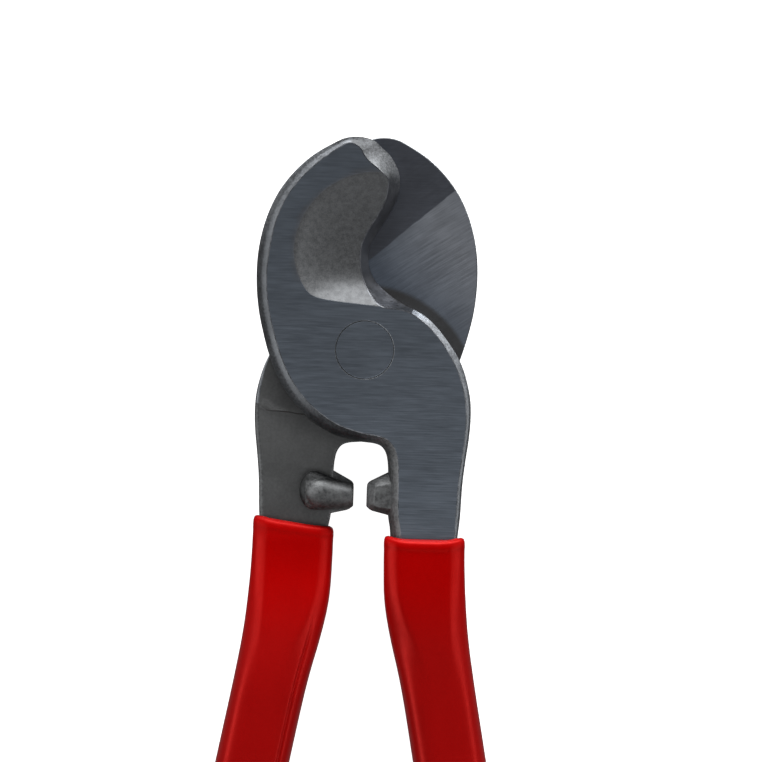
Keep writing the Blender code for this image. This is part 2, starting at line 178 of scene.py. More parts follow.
# Stop lug: stations of its low pedestal and of the dome on it (x, centre y, half sizes along y and z), and
# its web's outline and top, in mm.
PEDESTAL = (
    (5.5, -33.4, 3.4, 2.0),
    (7.0, -33.2, 3.83, 2.2),
    (9.0, -32.9, 4.3, 2.3),
    (10.5, -32.7, 4.5, 2.3),
    (12.0, -32.65, 4.2, 2.1),
    (13.1, -32.6, 3.2, 1.7),
    (13.8, -32.6, 1.8, 1.2),
    (14.0, -32.6, 0.7, 0.6),
)
DOME = (
    (1.5, -33.7, 2.2, 2.3),
    (1.75, -33.7, 2.55, 2.65),
    (3.0, -33.65, 2.9, 3.05),
    (5.0, -33.55, 3.25, 3.4),
    (7.0, -33.4, 3.6, 3.65),
    (8.6, -33.3, 3.8, 3.75),
    (9.8, -33.25, 3.75, 3.65),
    (10.9, -33.2, 3.35, 3.35),
    (11.8, -33.15, 2.7, 2.85),
    (12.4, -33.15, 1.9, 2.3),
    (12.75, -33.15, 1.0, 1.6),
    (12.85, -33.15, 0.4, 1.0),
)
WEB_BASE = (
    (9.4, -27.2),
    (6.2, -28.0),
    (2.5, -29.95),
    (1.85, -30.35),
    (1.55, -30.95),
    (1.5, -35.2),
    (1.7, -36.0),
    (2.2, -36.65),
    (3.0, -37.0),
    (6.4, -37.8),
    (9.4, -38.9),
)
WEB_TOP = (
    (9.4, -30.7),
    (6.2, -30.9),
    (4.1, -31.15),
    (3.6, -31.4),
    (3.4, -31.9),
    (3.35, -35.0),
    (3.5, -35.55),
    (3.9, -35.9),
    (4.6, -36.05),
    (6.4, -36.2),
    (9.4, -36.4),
)
WEB_HEIGHTS = (0.75 * MM, 2.6 * MM, 4.4 * MM)

# Handle of the front half: y, centre x and z, half width and half thickness of the grip, all in mm, and
# how square its section is.
HANDLE = (
    (-38.0, 15.1, 3.5, 9.3, 5.05, 8.0),
    (-50.0, 15.3, 3.2, 9.4, 5.35, 7.0),
    (-58.0, 15.8, 2.4, 9.45, 6.05, 5.0),
    (-66.0, 17.0, 1.4, 9.1, 6.8, 4.0),
    (-76.0, 19.1, 0.4, 8.65, 7.3, 3.4),
    (-90.0, 21.8, 0.0, 8.55, 7.5, 3.2),
    (-110.0, 25.4, 0.0, 8.65, 7.6, 3.1),
    (-130.0, 28.5, 0.0, 8.8, 7.7, 3.1),
    (-150.0, 30.6, 0.0, 8.85, 7.8, 3.1),
    (-170.0, 31.4, 0.0, 8.6, 7.6, 3.1),
    (-200.0, 31.3, 0.0, 7.7, 7.0, 3.1),
)
# Flat front of the grip: y, its half width towards the outer and the inner side in mm, slope beyond it.
PLATEAU = (
    (-38.0, 5.9, 6.1, 0.42),
    (-57.0, 5.5, 5.9, 0.45),
    (-62.0, 5.2, 5.0, 0.45),
    (-67.0, 4.6, 3.3, 0.38),
    (-72.0, 4.2, 2.2, 0.2),
    (-80.0, 4.0, 2.0, 0.0),
)
FOLD_START = -59.0 * MM  # a shallow fold runs down the grip's inner side from here
FOLD_IN = 2.7 * MM
FOLD_DEPTH = 0.42 * MM
FOLD_WIDTH = 0.32 * MM
CORE_TOP_Y = -43.5 * MM
CORE_END_Y = -182.0 * MM
CORE_HALF_DEPTH = 2.7 * MM
GRIP_WALL = 1.9 * MM
GRIP_LENGTH = 148.0 * MM
GRIP_SIDES = 192
SIDE_SHARE = 0.28  # how much of the rim's rounding the sides get
GRIP_INSET = 0.18 * MM  # how far the body lies below the rolled rim
# Rolled rim: how far below its top, how much the section shrinks there, both in mm, and its share of the
# rim's slope.
RIM = (
    (7.0, 0.18, 0.1),
    (5.0, 0.18, 0.3),
    (3.6, 0.18, 0.6),
    (2.9, 0.16, 0.8),
    (2.4, 0.06, 0.9),
    (2.1, 0.01, 0.95),
    (1.7, 0.0, 1.0),
    (1.35, 0.02, 1.0),
    (1.0, 0.1, 1.0),
    (0.72, 0.23, 1.0),
    (0.5, 0.4, 1.0),
    (0.3, 0.62, 1.0),
    (0.12, 0.9, 1.0),
    (0.0, 1.25, 1.0),
)
END_TURNS = (86, 76, 66, 55, 44, 33, 22, 11)  # degrees round the grip's rounded end
END_LENGTH = 8.0 * MM
POCKET_GAP = 0.2 * MM
POCKET_START = -46.6 * MM
# Mouth of the pocket round the tang: centre x and z, half width, half thickness, squareness.
POCKET_MOUTH = (14.93 * MM, 3.575 * MM, 7.98 * MM, 3.13 * MM, 24.0)
# Grips: the rim's top, how much it slopes across, how much it dips in the middle, in mm.
GRIPS = {"front": (-42.35, 0.1, 1.05), "rear": (-39.75, 2.2, 0.45)}

# Camera and lights
LENS = 600.0
SENSOR = 36.0
VIEW_WIDTH = 175.26 * MM
VIEW_CENTRE = (3.98 * MM, -7.01 * MM)
VIEW_ROLL = math.radians(1.85)
FAR_CLIP = 20.0
WORLD_LIGHT = 0.13
# Name, place, aim and size in metres, power in watts.
LIGHTS = (
    ("key", (0.1, 1.0, 0.3), (0.0, 0.0, 0.0), (1.2, 0.35), 18.0),
    ("left", (-0.85, -0.1, 0.48), (0.0, -0.05, 0.0), (0.9, 0.3), 3.4),
    ("right", (0.85, -0.1, 0.5), (0.0, -0.05, 0.0), (0.9, 0.3), 2.4),
    ("low", (0.1, -0.45, 0.6), (0.02, -0.05, 0.0), (0.5, 0.3), 0.8),
)


# Curves and meshes


def spline(knots, step):
    """Points on a centripetal Catmull-Rom curve through the knots. Columns after x and y follow them."""
    knots = np.array(knots, float)
    ends = (2 * knots[0] - knots[1], 2 * knots[-1] - knots[-2])
    padded = np.vstack((ends[0], knots, ends[1]))
    points = []
    for start in range(len(knots) - 1):
        p = padded[start : start + 4]
        gaps = np.linalg.norm(np.diff(p[:, :2], axis=0), axis=1) ** 0.5
        t = np.concatenate(((0.0,), np.cumsum(gaps)))
        count = max(1, round(np.linalg.norm(p[2, :2] - p[1, :2]) / step))
        for u in np.linspace(t[1], t[2], count, endpoint=False):
            a = [((t[i + 1] - u) * p[i] + (u - t[i]) * p[i + 1]) / (t[i + 1] - t[i]) for i in range(3)]
            b = [((t[i + 2] - u) * a[i] + (u - t[i]) * a[i + 1]) / (t[i + 2] - t[i]) for i in range(2)]
            points.append(((t[2] - u) * b[0] + (u - t[1]) * b[1]) / (t[2] - t[1]))
    points.append(knots[-1])
    return np.array(points)


HANDLE_TABLE = spline(HANDLE, 3.0)


def outward(points):
    """Unit normals that point out of a counter-clockwise ring."""
    along = np.roll(points, -1, axis=0) - np.roll(points, 1, axis=0)
    normals = np.stack((along[:, 1], -along[:, 0]), axis=1)
    return normals / np.linalg.norm(normals, axis=1, keepdims=True)


def inside(x, y, ring):
    """Whether a point lies in a closed ring of points."""
    x0, y0 = ring[:, 0], ring[:, 1]
    x1, y1 = np.roll(x0, -1), np.roll(y0, -1)
    crosses = (y0 > y) != (y1 > y)
    with np.errstate(divide="ignore", invalid="ignore"):
        at = x0 + (y - y0) * (x1 - x0) / (y1 - y0)
    return np.count_nonzero(crosses & (x < at)) % 2 == 1


def add_ring(bm, points):
    return [bm.verts.new(point) for point in points]


def join_rings(bm, low, high, slot=0):
    """Quads between two rings of equally many vertices. slot is one number or one for each quad."""
    count = len(low)
    for i in range(count):
        j = (i + 1) % count
        face = bm.faces.new((low[i], low[j], high[j], high[i]))
        face.material_index = slot if isinstance(slot, int) else int(slot[i])


def ring_edges(start, count):
    return [(start + i, start + (i + 1) % count) for i in range(count)]


def fill(bm, outer, hole, points, lines, height, slot):
    """Triangles between an outer ring and a round hole at the origin, through more points and lines.

    lines pair up indices into outer + hole + points. height gives z where two lines cross.
    """
    verts = list(outer) + list(hole) + [bm.verts.new(point) for point in points]
    flat = [Vector((v.co.x / MM, v.co.y / MM)) for v in verts]
    edges = ring_edges(0, len(outer)) + ring_edges(len(outer), len(hole)) + list(lines)
    coords, _, faces, origins, _, _ = delaunay_2d_cdt(flat, edges, [], 1, 1e-4)
    at = []
    for co, origin in zip(coords, origins):
        if origin:
            at.append(verts[origin[0]])
        else:
            at.append(bm.verts.new((co.x * MM, co.y * MM, height(co.x * MM, co.y * MM))))
    hole_size = Vector(hole[0].co[:2]).length
    for face in faces:
        corners = [at[i] for i in face]
        middle = sum((v.co for v in corners), Vector()) / 3
        if middle.xy.length > hole_size and len(set(corners)) == 3:
            bm.faces.new(corners).material_index = slot


def finish_mesh(bm, name):
    bmesh.ops.recalc_face_normals(bm, faces=bm.faces)
    mesh = bpy.data.meshes.new(name)
    bm.to_mesh(mesh)
    bm.free()
    mesh.shade_smooth()
    return mesh


def new_object(name, mesh, materials=()):
    obj = bpy.data.objects.new(name, mesh)
    bpy.context.scene.collection.objects.link(obj)
    for material in materials:
        obj.data.materials.append(material)
    return obj


def apply_modifiers(obj):
    """Puts the result of the modifiers into the mesh."""
    graph = bpy.context.evaluated_depsgraph_get()
    mesh = bpy.data.meshes.new_from_object(obj.evaluated_get(graph))
    obj.modifiers.clear()
    obj.data = mesh


def unite(obj, other):
    """Joins another closed object to this one and removes it."""
    modifier = obj.modifiers.new("unite", "BOOLEAN")
    modifier.operation = "UNION"
    modifier.object = other
    apply_modifiers(obj)
    bpy.data.objects.remove(other)


def loft(rings, name, slot=0):
    """A closed mesh through rings of equally many points, with a flat cap at each end."""
    bm = bmesh.new()
    loops = [add_ring(bm, ring) for ring in rings]
    for low, high in zip(loops, loops[1:]):
        join_rings(bm, low, high, slot)
    for cap in (loops[0], loops[-1]):
        bm.faces.new(cap).material_index = slot
    return finish_mesh(bm, name)


# Blade


def bowl_floor(x, y):
    """Height of the hollow at a point of the jaw. It lies above the ground face outside the bowl."""
    radius = np.hypot(x - BOWL_CENTRE[0], y - BOWL_CENTRE[1]) / BOWL_RADIUS
    bowl = BOWL_DEPTH * (1.0 - radius**BOWL_POWER)
    above = y - WALL_Y - WALL_TILT * x
    curved = np.clip(above - WALL_STRAIGHT, 0.0, WALL_CURVED)
    straight = np.minimum(above, WALL_STRAIGHT)
    wall = WALL_SLOPE * (straight + curved - curved**2 / (2 * WALL_CURVED))
    mean, apart = (bowl + wall) / 2, (bowl - wall) / 2
    return FACE - mean + np.hypot(apart, BOWL_BLEND / 2)


def edge_softness(x, y):
    """How round the hollow's edge is: tight along the wall near the pivot, soft at the far side."""
    return (0.03 + 0.5 * np.clip((y - 14.0 * MM) / (8.0 * MM), 0.0, 1.0)) * MM


def top_height(x, y):
    """Height of the outer side: the ground face, rounded down into the hollow."""
    floor = bowl_floor(x, y)
    softness = edge_softness(x, y)
    overlap = np.clip(softness - np.abs(floor - FACE), 0.0, None) / softness
    return np.minimum(floor, FACE) - overlap**2 * softness / 4


class Outline:
    """The half's outline in metres, with what its bevel does at each point."""

    def __init__(self):
        table = spline(np.array(OUTLINE) * (MM, MM, MM, MM, MM, 1.0, MM), OUTLINE_STEP)
        self.points = table[:, :2]
        self.inset, self.slide, self.wall, self.bulge, self.under = table[:, 2:].T
        self.normals = outward(self.points)
        # The tang's end is cut square, so its two corners take the sides' normals.
        self.normals[0], self.normals[-1] = self.normals[1], self.normals[-2]
        self.forward = np.stack((-self.normals[:, 1], self.normals[:, 0]), axis=1)
        self.reach = self.bevel_reach()
        start, end = self.nearest(STEP_START), self.nearest(STEP_END)
        index = np.arange(len(table))
        self.recessed = (index <= start) | (index >= end)
        self.step_start, self.step_end = start, end

    def nearest(self, point):
        return int(np.argmin(np.hypot(*(self.points - np.array(point) * MM).T)))

    def bevel(self, share):
        """Points and heights at a share of the bevel's full width."""
        share = np.broadcast_to(share, self.inset.shape)
        full = np.interp(share, BEVEL_SHARES, BEVEL_FULL)
        rise = share + (full - share) * np.clip(self.bulge, 0.0, 1.0)
        points = self.points - self.normals * (self.inset * share)[:, None]
        points = points + self.forward * (self.slide * share)[:, None]
        return points, self.wall + (FACE - self.wall) * rise

    def bevel_reach(self):
        """Share of the bevel that is left where the hollow cuts into it."""
        low, high = np.zeros(len(self.inset)), np.ones(len(self.inset))
        for _ in range(30):
            middle = (low + high) / 2
            points, z = self.bevel(middle)
            above = z >= top_height(points[:, 0], points[:, 1]) - 1e-9
            high, low = np.where(above, middle, high), np.where(above, low, middle)
        return high

    def lap(self):
        return LAP_GAP + RECESS * self.recessed


def with_height(points, z):
    z = np.broadcast_to(z, len(points))
    return [(x, y, height) for (x, y), height in zip(points, z)]


def circle(radius, z, sides):
    angles = np.linspace(0, 2 * math.pi, sides, endpoint=False)
    return [(radius * math.cos(a), radius * math.sin(a), z) for a in angles]


def bowl_edge(ring):
    """Points along the hollow's edge on the ground face, from the cutting edge round to the tip."""
    points = []
    for angle in np.linspace(*BOWL_SWEEP, 260):
        direction = (math.cos(angle), math.sin(angle))
        low, high = 1.0 * MM, 26.0 * MM
        for _ in range(30):
            middle = (low + high) / 2
            x, y = (BOWL_HEART[i] + direction[i] * middle for i in (0, 1))
            low, high = (middle, high) if bowl_floor(x, y) < FACE else (low, middle)
        points.append((BOWL_HEART[0] + direction[0] * low, BOWL_HEART[1] + direction[1] * low))
    kept = [p for p in points if inside(*p, ring)]
    even = [kept[0]]
    for point in kept[1:]:
        if math.dist(point, even[-1]) >= BOWL_EDGE_STEP:
            even.append(point)
    return even


def bowl_points(ring):
    """Points over the hollow, and lines along its edge with support lines on each side."""
    edge = bowl_edge(ring)
    points, lines = [], []
    for shift in BOWL_EDGE_LOOPS:
        chain = []
        for x, y in edge:
            away = Vector((x - BOWL_HEART[0], y - BOWL_HEART[1]))
            moved = Vector((x, y)) + away.normalized() * shift
            if inside(*moved, ring):
                chain.append(tuple(moved))
        lines += [(len(points) + i, len(points) + i + 1) for i in range(len(chain) - 1)]
        points += chain
    near = np.array(points + [tuple(p) for p in ring])
    for row, y in enumerate(np.arange(*BOWL_Y, BOWL_GRID * 0.866)):
        for x in np.arange(*BOWL_X, BOWL_GRID) + (row % 2) * BOWL_GRID / 2:
            if bowl_floor(x, y) > FACE + 1.2 * MM or not inside(x, y, ring):
                continue
            if np.min(np.hypot(near[:, 0] - x, near[:, 1] - y)) > 0.2 * MM:
                points.append((x, y))
    return [(x, y, float(top_height(x, y))) for x, y in points], lines


def step_lines(outline, offset):
    """The step on the tang's inner side: points and lines along its upper and its lower edge."""
    first = math.atan2(STEP_LINE[-1][1], STEP_LINE[-1][0])
    arc = [first - share * STEP_ARC_TURN for share in np.linspace(0.1, 1.0, 12)]
    middle = [Vector(p) * MM for p in STEP_LINE]
    middle += [Vector((math.cos(a), math.sin(a))) * STEP_ARC_RADIUS for a in arc]
    points, lines = [], []
    for side in (0, 1):
        chain = [outline.step_start + 1 - side]
        chain += [offset + len(points) + i for i in range(len(middle))]
        chain += [outline.step_end - 1 + side]
        lines += list(zip(chain, chain[1:]))
        for p in middle:
            points.append((*(p + Vector(STEP_SHIFT) * side), LAP_GAP + RECESS * side))
    return points, lines


def head_mesh(name):
    """Jaw, lap disc and tang as one closed mesh with the rivet's hole."""
    outline = Outline()
    p, n, lap, under = outline.points, outline.normals, outline.lap(), outline.under
    bm = bmesh.new()
    cutting = (p[:, 0] > CUTTING_FROM[0]) & (p[:, 1] > CUTTING_FROM[1])
    side_slot = np.where(outline.recessed, FORGED, EDGE)
    forged = (p[:, 0] < FORGED_BELOW[0]) & (p[:, 1] < FORGED_BELOW[1])
    bevel_slot = np.where(cutting, CUTTING, np.where(forged, FORGED, EDGE))
    lap_ring = add_ring(bm, with_height(p - n * (under + SUPPORT)[:, None], lap))
    rings = [lap_ring]
    for across, up in UNDER_ROUND:
        rings.append(add_ring(bm, with_height(p - n * (under * across)[:, None], lap + under * up)))
    wall_top = np.maximum(lap + under + 0.02 * MM, outline.wall - 0.2 * MM)
    rings.append(add_ring(bm, with_height(p, wall_top)))
    for low, high in zip(rings, rings[1:]):
        join_rings(bm, low, high, side_slot)
    low = rings[-1]
    for share in BEVEL_SHARES:
        high = add_ring(bm, with_height(*outline.bevel(outline.reach * share)))
        join_rings(bm, low, high, side_slot if share == 0 else bevel_slot)
        low = high
    edge = np.array([v.co[:2] for v in low])
    inner = edge - outward(edge) * WORN_WIDTH
    top_ring = add_ring(bm, with_height(inner, top_height(inner[:, 0], inner[:, 1])))
    join_rings(bm, low, top_ring, WORN_HIGHLIGHT)

    # The first and the last strip are flat, so that the faces they join shade flat up to the hole.
    hole = [(HOLE_RADIUS + 2 * SUPPORT, FACE), (HOLE_RADIUS + SUPPORT, FACE)]
    hole += [(HOLE_RADIUS, FACE - 0.04 * MM), (HOLE_RADIUS, FACE - HOLE_DEPTH)]
    hole += [(SHANK_HOLE, FACE - SINK_DEPTH), (SHANK_HOLE, LAP_GAP + SUPPORT)]
    hole += [(SHANK_HOLE + SUPPORT, LAP_GAP), (SHANK_HOLE + 2 * SUPPORT, LAP_GAP)]
    hole_rings = [add_ring(bm, circle(radius, z, HOLE_SIDES)) for radius, z in hole]
    slots = (GROUND, EDGE, EDGE, EDGE, EDGE, EDGE, LAP)
    for low, high, slot in zip(hole_rings, hole_rings[1:], slots):
        join_rings(bm, low, high, slot)

    points, lines = bowl_points(np.array(inner))
    offset = len(top_ring) + HOLE_SIDES
    lines = [(a + offset, b + offset) for a, b in lines]
    fill(bm, top_ring, hole_rings[0], points, lines, lambda x, y: float(top_height(x, y)), GROUND)
    points, lines = step_lines(outline, offset)
    fill(bm, lap_ring, hole_rings[-1], points, lines, lambda x, y: LAP_GAP + RECESS, LAP)
    return finish_mesh(bm, name)


def boss_mesh(name, stations):
    """Boss of the stop lug along X, of oval sections, with a ball-shaped outer end."""
    rings = []
    for x, centre, across, up in spline(stations, 0.5) * MM:
        angles = np.linspace(0, 2 * math.pi, 48, endpoint=False)
        rings.append([(x, centre + across * math.cos(a), up * math.sin(a)) for a in angles])
    return loft(rings, name, FORGED)


def web_mesh(name):
    """Drafted web between the boss and the tang."""
    base, top = np.array(WEB_BASE) * MM, np.array(WEB_TOP) * MM
    rings = [with_height(ring, z) for ring, z in zip((base, base, top), WEB_HEIGHTS)]
    return loft(rings, name, FORGED)


def handle_at(y):
    """Centre x and z, half width, half thickness and squareness of the grip at a place along the tool."""
    along = -HANDLE_TABLE[:, 0]
    x, z, width, depth = (np.interp(-y / MM, along, HANDLE_TABLE[:, i]) * MM for i in (1, 2, 3, 4))
    return x, z, width, depth, np.interp(-y / MM, along, HANDLE_TABLE[:, 5])


def section(y, x, z, width, depth, power, sides, rise=None):
    """Ring across a bar at y. rise(across, up), both -1 to 1, gives how far a point is moved along y."""
    ring = []
    for i in range(sides):
        angle = 2 * math.pi * (i + 0.5) / sides
        cos, sin = math.cos(angle), math.sin(angle)
        across = math.copysign(abs(cos) ** (2 / power), cos)
        up = math.copysign(abs(sin) ** (2 / power), sin)
        ring.append((x + across * width, y + (rise(across, up) if rise else 0.0), z + up * depth))
    return ring


def facet(y, dx):
    """How far the grip's front lies below its flat middle at dx across from the centre."""
    table = np.array(PLATEAU)
    outer, inner, slope = (np.interp(-y / MM, -table[:, 0], table[:, i]) for i in (1, 2, 3))
    beyond = abs(dx) - (outer if dx > 0 else inner) * MM
    return slope * (beyond + math.hypot(beyond, 0.5 * MM)) / 2


def fold(y, dx, width):
    """Depth of the fold on the grip's inner side."""
    share = min(1.0, max(0.0, (FOLD_START - y) / (12.0 * MM)))
    return share**2 * FOLD_DEPTH * math.exp(-(((dx + width - FOLD_IN) / FOLD_WIDTH) ** 2))


def grip_section(y, shrink, scale, move):
    """Ring across the grip at y with its front and back facets."""
    x, z, width, depth, power = handle_at(y)
    width, depth = (width - shrink * SIDE_SHARE) * scale, (depth - shrink) * scale
    ring = section(y, x, z, width, depth, power, GRIP_SIDES, move)
    shaped = []
    for px, py, pz in ring:
        up = (pz - z) / depth
        drop = facet(y, px - x) * scale
        if up < 0:
            drop += fold(y, px - x, width) * scale
        shaped.append((px, py, pz - up * drop))
    return shaped


def core_mesh(name):
    rings = []
    for y in np.linspace(CORE_TOP_Y, CORE_END_Y, 24):
        x, z, width, _, _ = handle_at(y)
        rings.append(section(y, x, z, width - GRIP_WALL, CORE_HALF_DEPTH, 9.0, 24))
    return loft(rings, name, FORGED)


def soften(obj, width, segments=3):
    modifier = obj.modifiers.new("soften", "BEVEL")
    modifier.width = width
    modifier.segments = segments
    modifier.limit_method = "ANGLE"
    modifier.angle_limit = math.radians(28)
    apply_modifiers(obj)


def remove_slivers(mesh):
    """Takes out the hair-thin faces that the unions leave, and splits the other faces into triangles."""
    bm = bmesh.new()
    bm.from_mesh(mesh)
    bmesh.ops.dissolve_degenerate(bm, dist=SLIVER, edges=bm.edges)
    bmesh.ops.triangulate(bm, faces=bm.faces)
    bmesh.ops.dissolve_degenerate(bm, dist=SLIVER, edges=bm.edges)
    bm.to_mesh(mesh)
    bm.free()


def build_blade(name, body, place, materials):
    blade = new_object(name, head_mesh(name), materials)
    web = new_object("web", web_mesh("web"), materials)
    soften(web, 0.3 * MM)
    unite(blade, web)
    for label, stations in (("pedestal", PEDESTAL), ("dome", DOME)):
        unite(blade, new_object(label, boss_mesh(label, stations), materials))
    unite(blade, new_object("core", core_mesh("core"), materials))
    remove_slivers(blade.data)
    blade.data.shade_smooth()
    blade.data.set_sharp_from_angle(angle=SHARP_ANGLE)
    blade.matrix_world = place
    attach(blade, body)
    return blade


# Rivet and grips


def rivet_mesh(name):
    """Flush rivet with two countersunk heads."""
    head, shank = HOLE_RADIUS - 0.13 * MM, SHANK_HOLE - 0.15 * MM
    half = [(head - 0.3 * MM, FACE), (head - SUPPORT, FACE), (head - 0.02 * MM, FACE - 0.03 * MM)]
    half += [(head, FACE - 0.15 * MM), (head, FACE - 0.6 * MM), (shank, FACE - 2.8 * MM)]
    profile = half + [(radius, -z) for radius, z in reversed(half)]
    return loft([circle(radius, z, HOLE_SIDES) for radius, z in profile], name)


def grip_mesh(name, top, tilt, dip):
    """Slip-on grip: a rolled rim, a body that follows the handle, a rounded end, and the pocket inside."""
    end = top - GRIP_LENGTH

    def lean(across, up):
        corner = max(0.0, abs(across) - 0.93) / 0.07
        return tilt * across / 2 - dip * (1 - abs(across) ** 2.5) - 0.35 * MM * corner

    def ring(y, shrink=0.0, scale=1.0, share=0.0):
        return grip_section(y, shrink, scale, (lambda a, u: lean(a, u) * share) if share else None)

    rings = []
    for angle in END_TURNS:
        turn = math.radians(angle)
        y = end + END_LENGTH * (1 - math.sin(turn))
        rings.append(ring(y, GRIP_INSET, math.cos(turn) ** 0.6))
    for y in np.arange(end + 9.0 * MM, top - 9.0 * MM, 2.0 * MM):
        rings.append(ring(y, GRIP_INSET))
    for below, shrink, share in RIM:
        rings.append(ring(top - below * MM, shrink * MM, 1.0, share))

    def pocket(y, share):
        move = (lambda a, u: lean(a, u) * share) if share else None
        return section(y, *POCKET_MOUTH, GRIP_SIDES, move)

    rings += [pocket(top - 0.15 * MM, 1.0), pocket(top - 0.6 * MM, 1.0), pocket(top - 2.8 * MM, 0.0)]
    depth = CORE_HALF_DEPTH + POCKET_GAP
    for y in np.linspace(POCKET_START, CORE_END_Y - POCKET_GAP, 20):
        x, z, width, _, _ = handle_at(y)
        rings.append(section(y, x, z, width - GRIP_WALL + POCKET_GAP, depth, 12.0, GRIP_SIDES))
    return loft(rings, name)


# Finishes

GROUND, EDGE, CUTTING, LAP, FORGED, WORN_HIGHLIGHT = range(6)


def add_node(tree, kind, inputs=None, **settings):
    """A shader node. inputs maps socket names or numbers to a value or to another node's socket."""
    node = tree.nodes.new(kind)
    for key, value in settings.items():
        setattr(node, key, value)
    for key, value in (inputs or {}).items():
        if isinstance(value, bpy.types.NodeSocket):
            tree.links.new(value, node.inputs[key])
        else:
            node.inputs[key].default_value = value
    return node


class Finish:
    """A material with a Principled shader, and short calls for the nodes that feed it."""

    def __init__(self, name):
        self.material = bpy.data.materials.new(name)
        self.material.use_nodes = True
        self.tree = self.material.node_tree
        self.shader = self.tree.nodes["Principled BSDF"]
        self.place = add_node(self.tree, "ShaderNodeTexCoord").outputs["Object"]

    def math(self, operation, a, b=0.0):
        return add_node(self.tree, "ShaderNodeMath", {0: a, 1: b}, operation=operation).outputs[0]

    def split(self):
        """The object's own x, y and z."""
        return add_node(self.tree, "ShaderNodeSeparateXYZ", {0: self.place}).outputs

    def mapped(self, scale, angle=0.0, offset=(0.0, 0.0, 0.0)):
        """Object coordinates turned about Z and scaled: 1 / scale is a feature's size in metres."""
        turn = {"Vector": self.place, "Rotation": (0.0, 0.0, math.radians(angle))}
        turned = add_node(self.tree, "ShaderNodeMapping", turn).outputs[0]
        stretch = {"Vector": turned, "Scale": scale, "Location": offset}
        return add_node(self.tree, "ShaderNodeMapping", stretch).outputs[0]

    def noise(self, scale, detail=3.0, rough=0.55, angle=0.0, offset=(0.0, 0.0, 0.0)):
        vector = self.mapped(scale, angle, offset)
        sockets = {"Vector": vector, "Scale": 1.0, "Detail": detail, "Roughness": rough}
        return add_node(self.tree, "ShaderNodeTexNoise", sockets).outputs["Fac"]

    def ramp(self, value, low, high, out_low=0.0, out_high=1.0, smooth=True):
        sockets = {0: value, 1: low, 2: high, 3: out_low, 4: out_high}
        node = add_node(self.tree, "ShaderNodeMapRange", sockets)
        node.interpolation_type = "SMOOTHSTEP" if smooth else "LINEAR"
        return node.outputs[0]

    def mix(self, share, a, b):
        node = add_node(self.tree, "ShaderNodeMix", {0: share}, data_type="RGBA")
        for key, value in ((6, a), (7, b)):
            if isinstance(value, bpy.types.NodeSocket):
                self.tree.links.new(value, node.inputs[key])
            else:
                node.inputs[key].default_value = (*value, 1.0)
        return node.outputs[2]

    def mix_value(self, share, a, b):
        node = add_node(self.tree, "ShaderNodeMix", {0: share, 2: a, 3: b}, data_type="FLOAT")
        return node.outputs[0]

    def tint(self, colour, value):
        """A colour made lighter or darker by a value around 1."""
        grey = add_node(self.tree, "ShaderNodeCombineXYZ", {0: value, 1: value, 2: value}).outputs[0]
        sockets = {0: 1.0, 7: grey}
        node = add_node(self.tree, "ShaderNodeMix", sockets, data_type="RGBA", blend_type="MULTIPLY")
        if isinstance(colour, bpy.types.NodeSocket):
            self.tree.links.new(colour, node.inputs[6])
        else:
            node.inputs[6].default_value = (*colour, 1.0)
        return node.outputs[2]

    def bump(self, height, strength, distance):
        sockets = {"Height": height, "Strength": strength, "Distance": distance}
        return add_node(self.tree, "ShaderNodeBump", sockets).outputs[0]

    def done(self, colour, roughness, normal=None, metallic=1.0, **uniform):
        for key, value in (("Base Color", colour), ("Roughness", roughness), ("Normal", normal)):
            if isinstance(value, bpy.types.NodeSocket):
                self.tree.links.new(value, self.shader.inputs[key])
            elif value is not None:
                self.shader.inputs[key].default_value = value
        self.shader.inputs["Metallic"].default_value = metallic
        for key, value in uniform.items():
            self.shader.inputs[key.replace("_", " ")].default_value = value
        return self.material


def grain(f, angle=0.0, fine=3300.0, coarse=1300.0):
    """Brushed lines along an angle: a fine layer over a coarse one, around 0.5."""
    lines = f.noise((150.0, fine, 150.0), 2.0, 0.6, angle)
    broad = f.noise((80.0, coarse, 80.0), 3.0, 0.6, angle, offset=(3.0, 7.0, 1.0))
    return f.math("ADD", f.math("MULTIPLY", lines, 0.7), f.math("MULTIPLY", broad, 0.3))


def scratches(f, angle=0.0):
    """Sparse thin scratches along an angle, 1 on a scratch."""
    return f.ramp(f.noise((75.0, 4200.0, 75.0), 1.0, 0.5, angle, offset=(9.0, 2.0, 4.0)), 0.66, 0.74)


def far_from(f, x, y):
    """Distance of the point from (x, y) in the plane of the blade."""
    across = f.math("POWER", f.math("SUBTRACT", f.split()[0], x), 2.0)
    along = f.math("POWER", f.math("SUBTRACT", f.split()[1], y), 2.0)
    return f.math("SQRT", f.math("ADD", across, along))


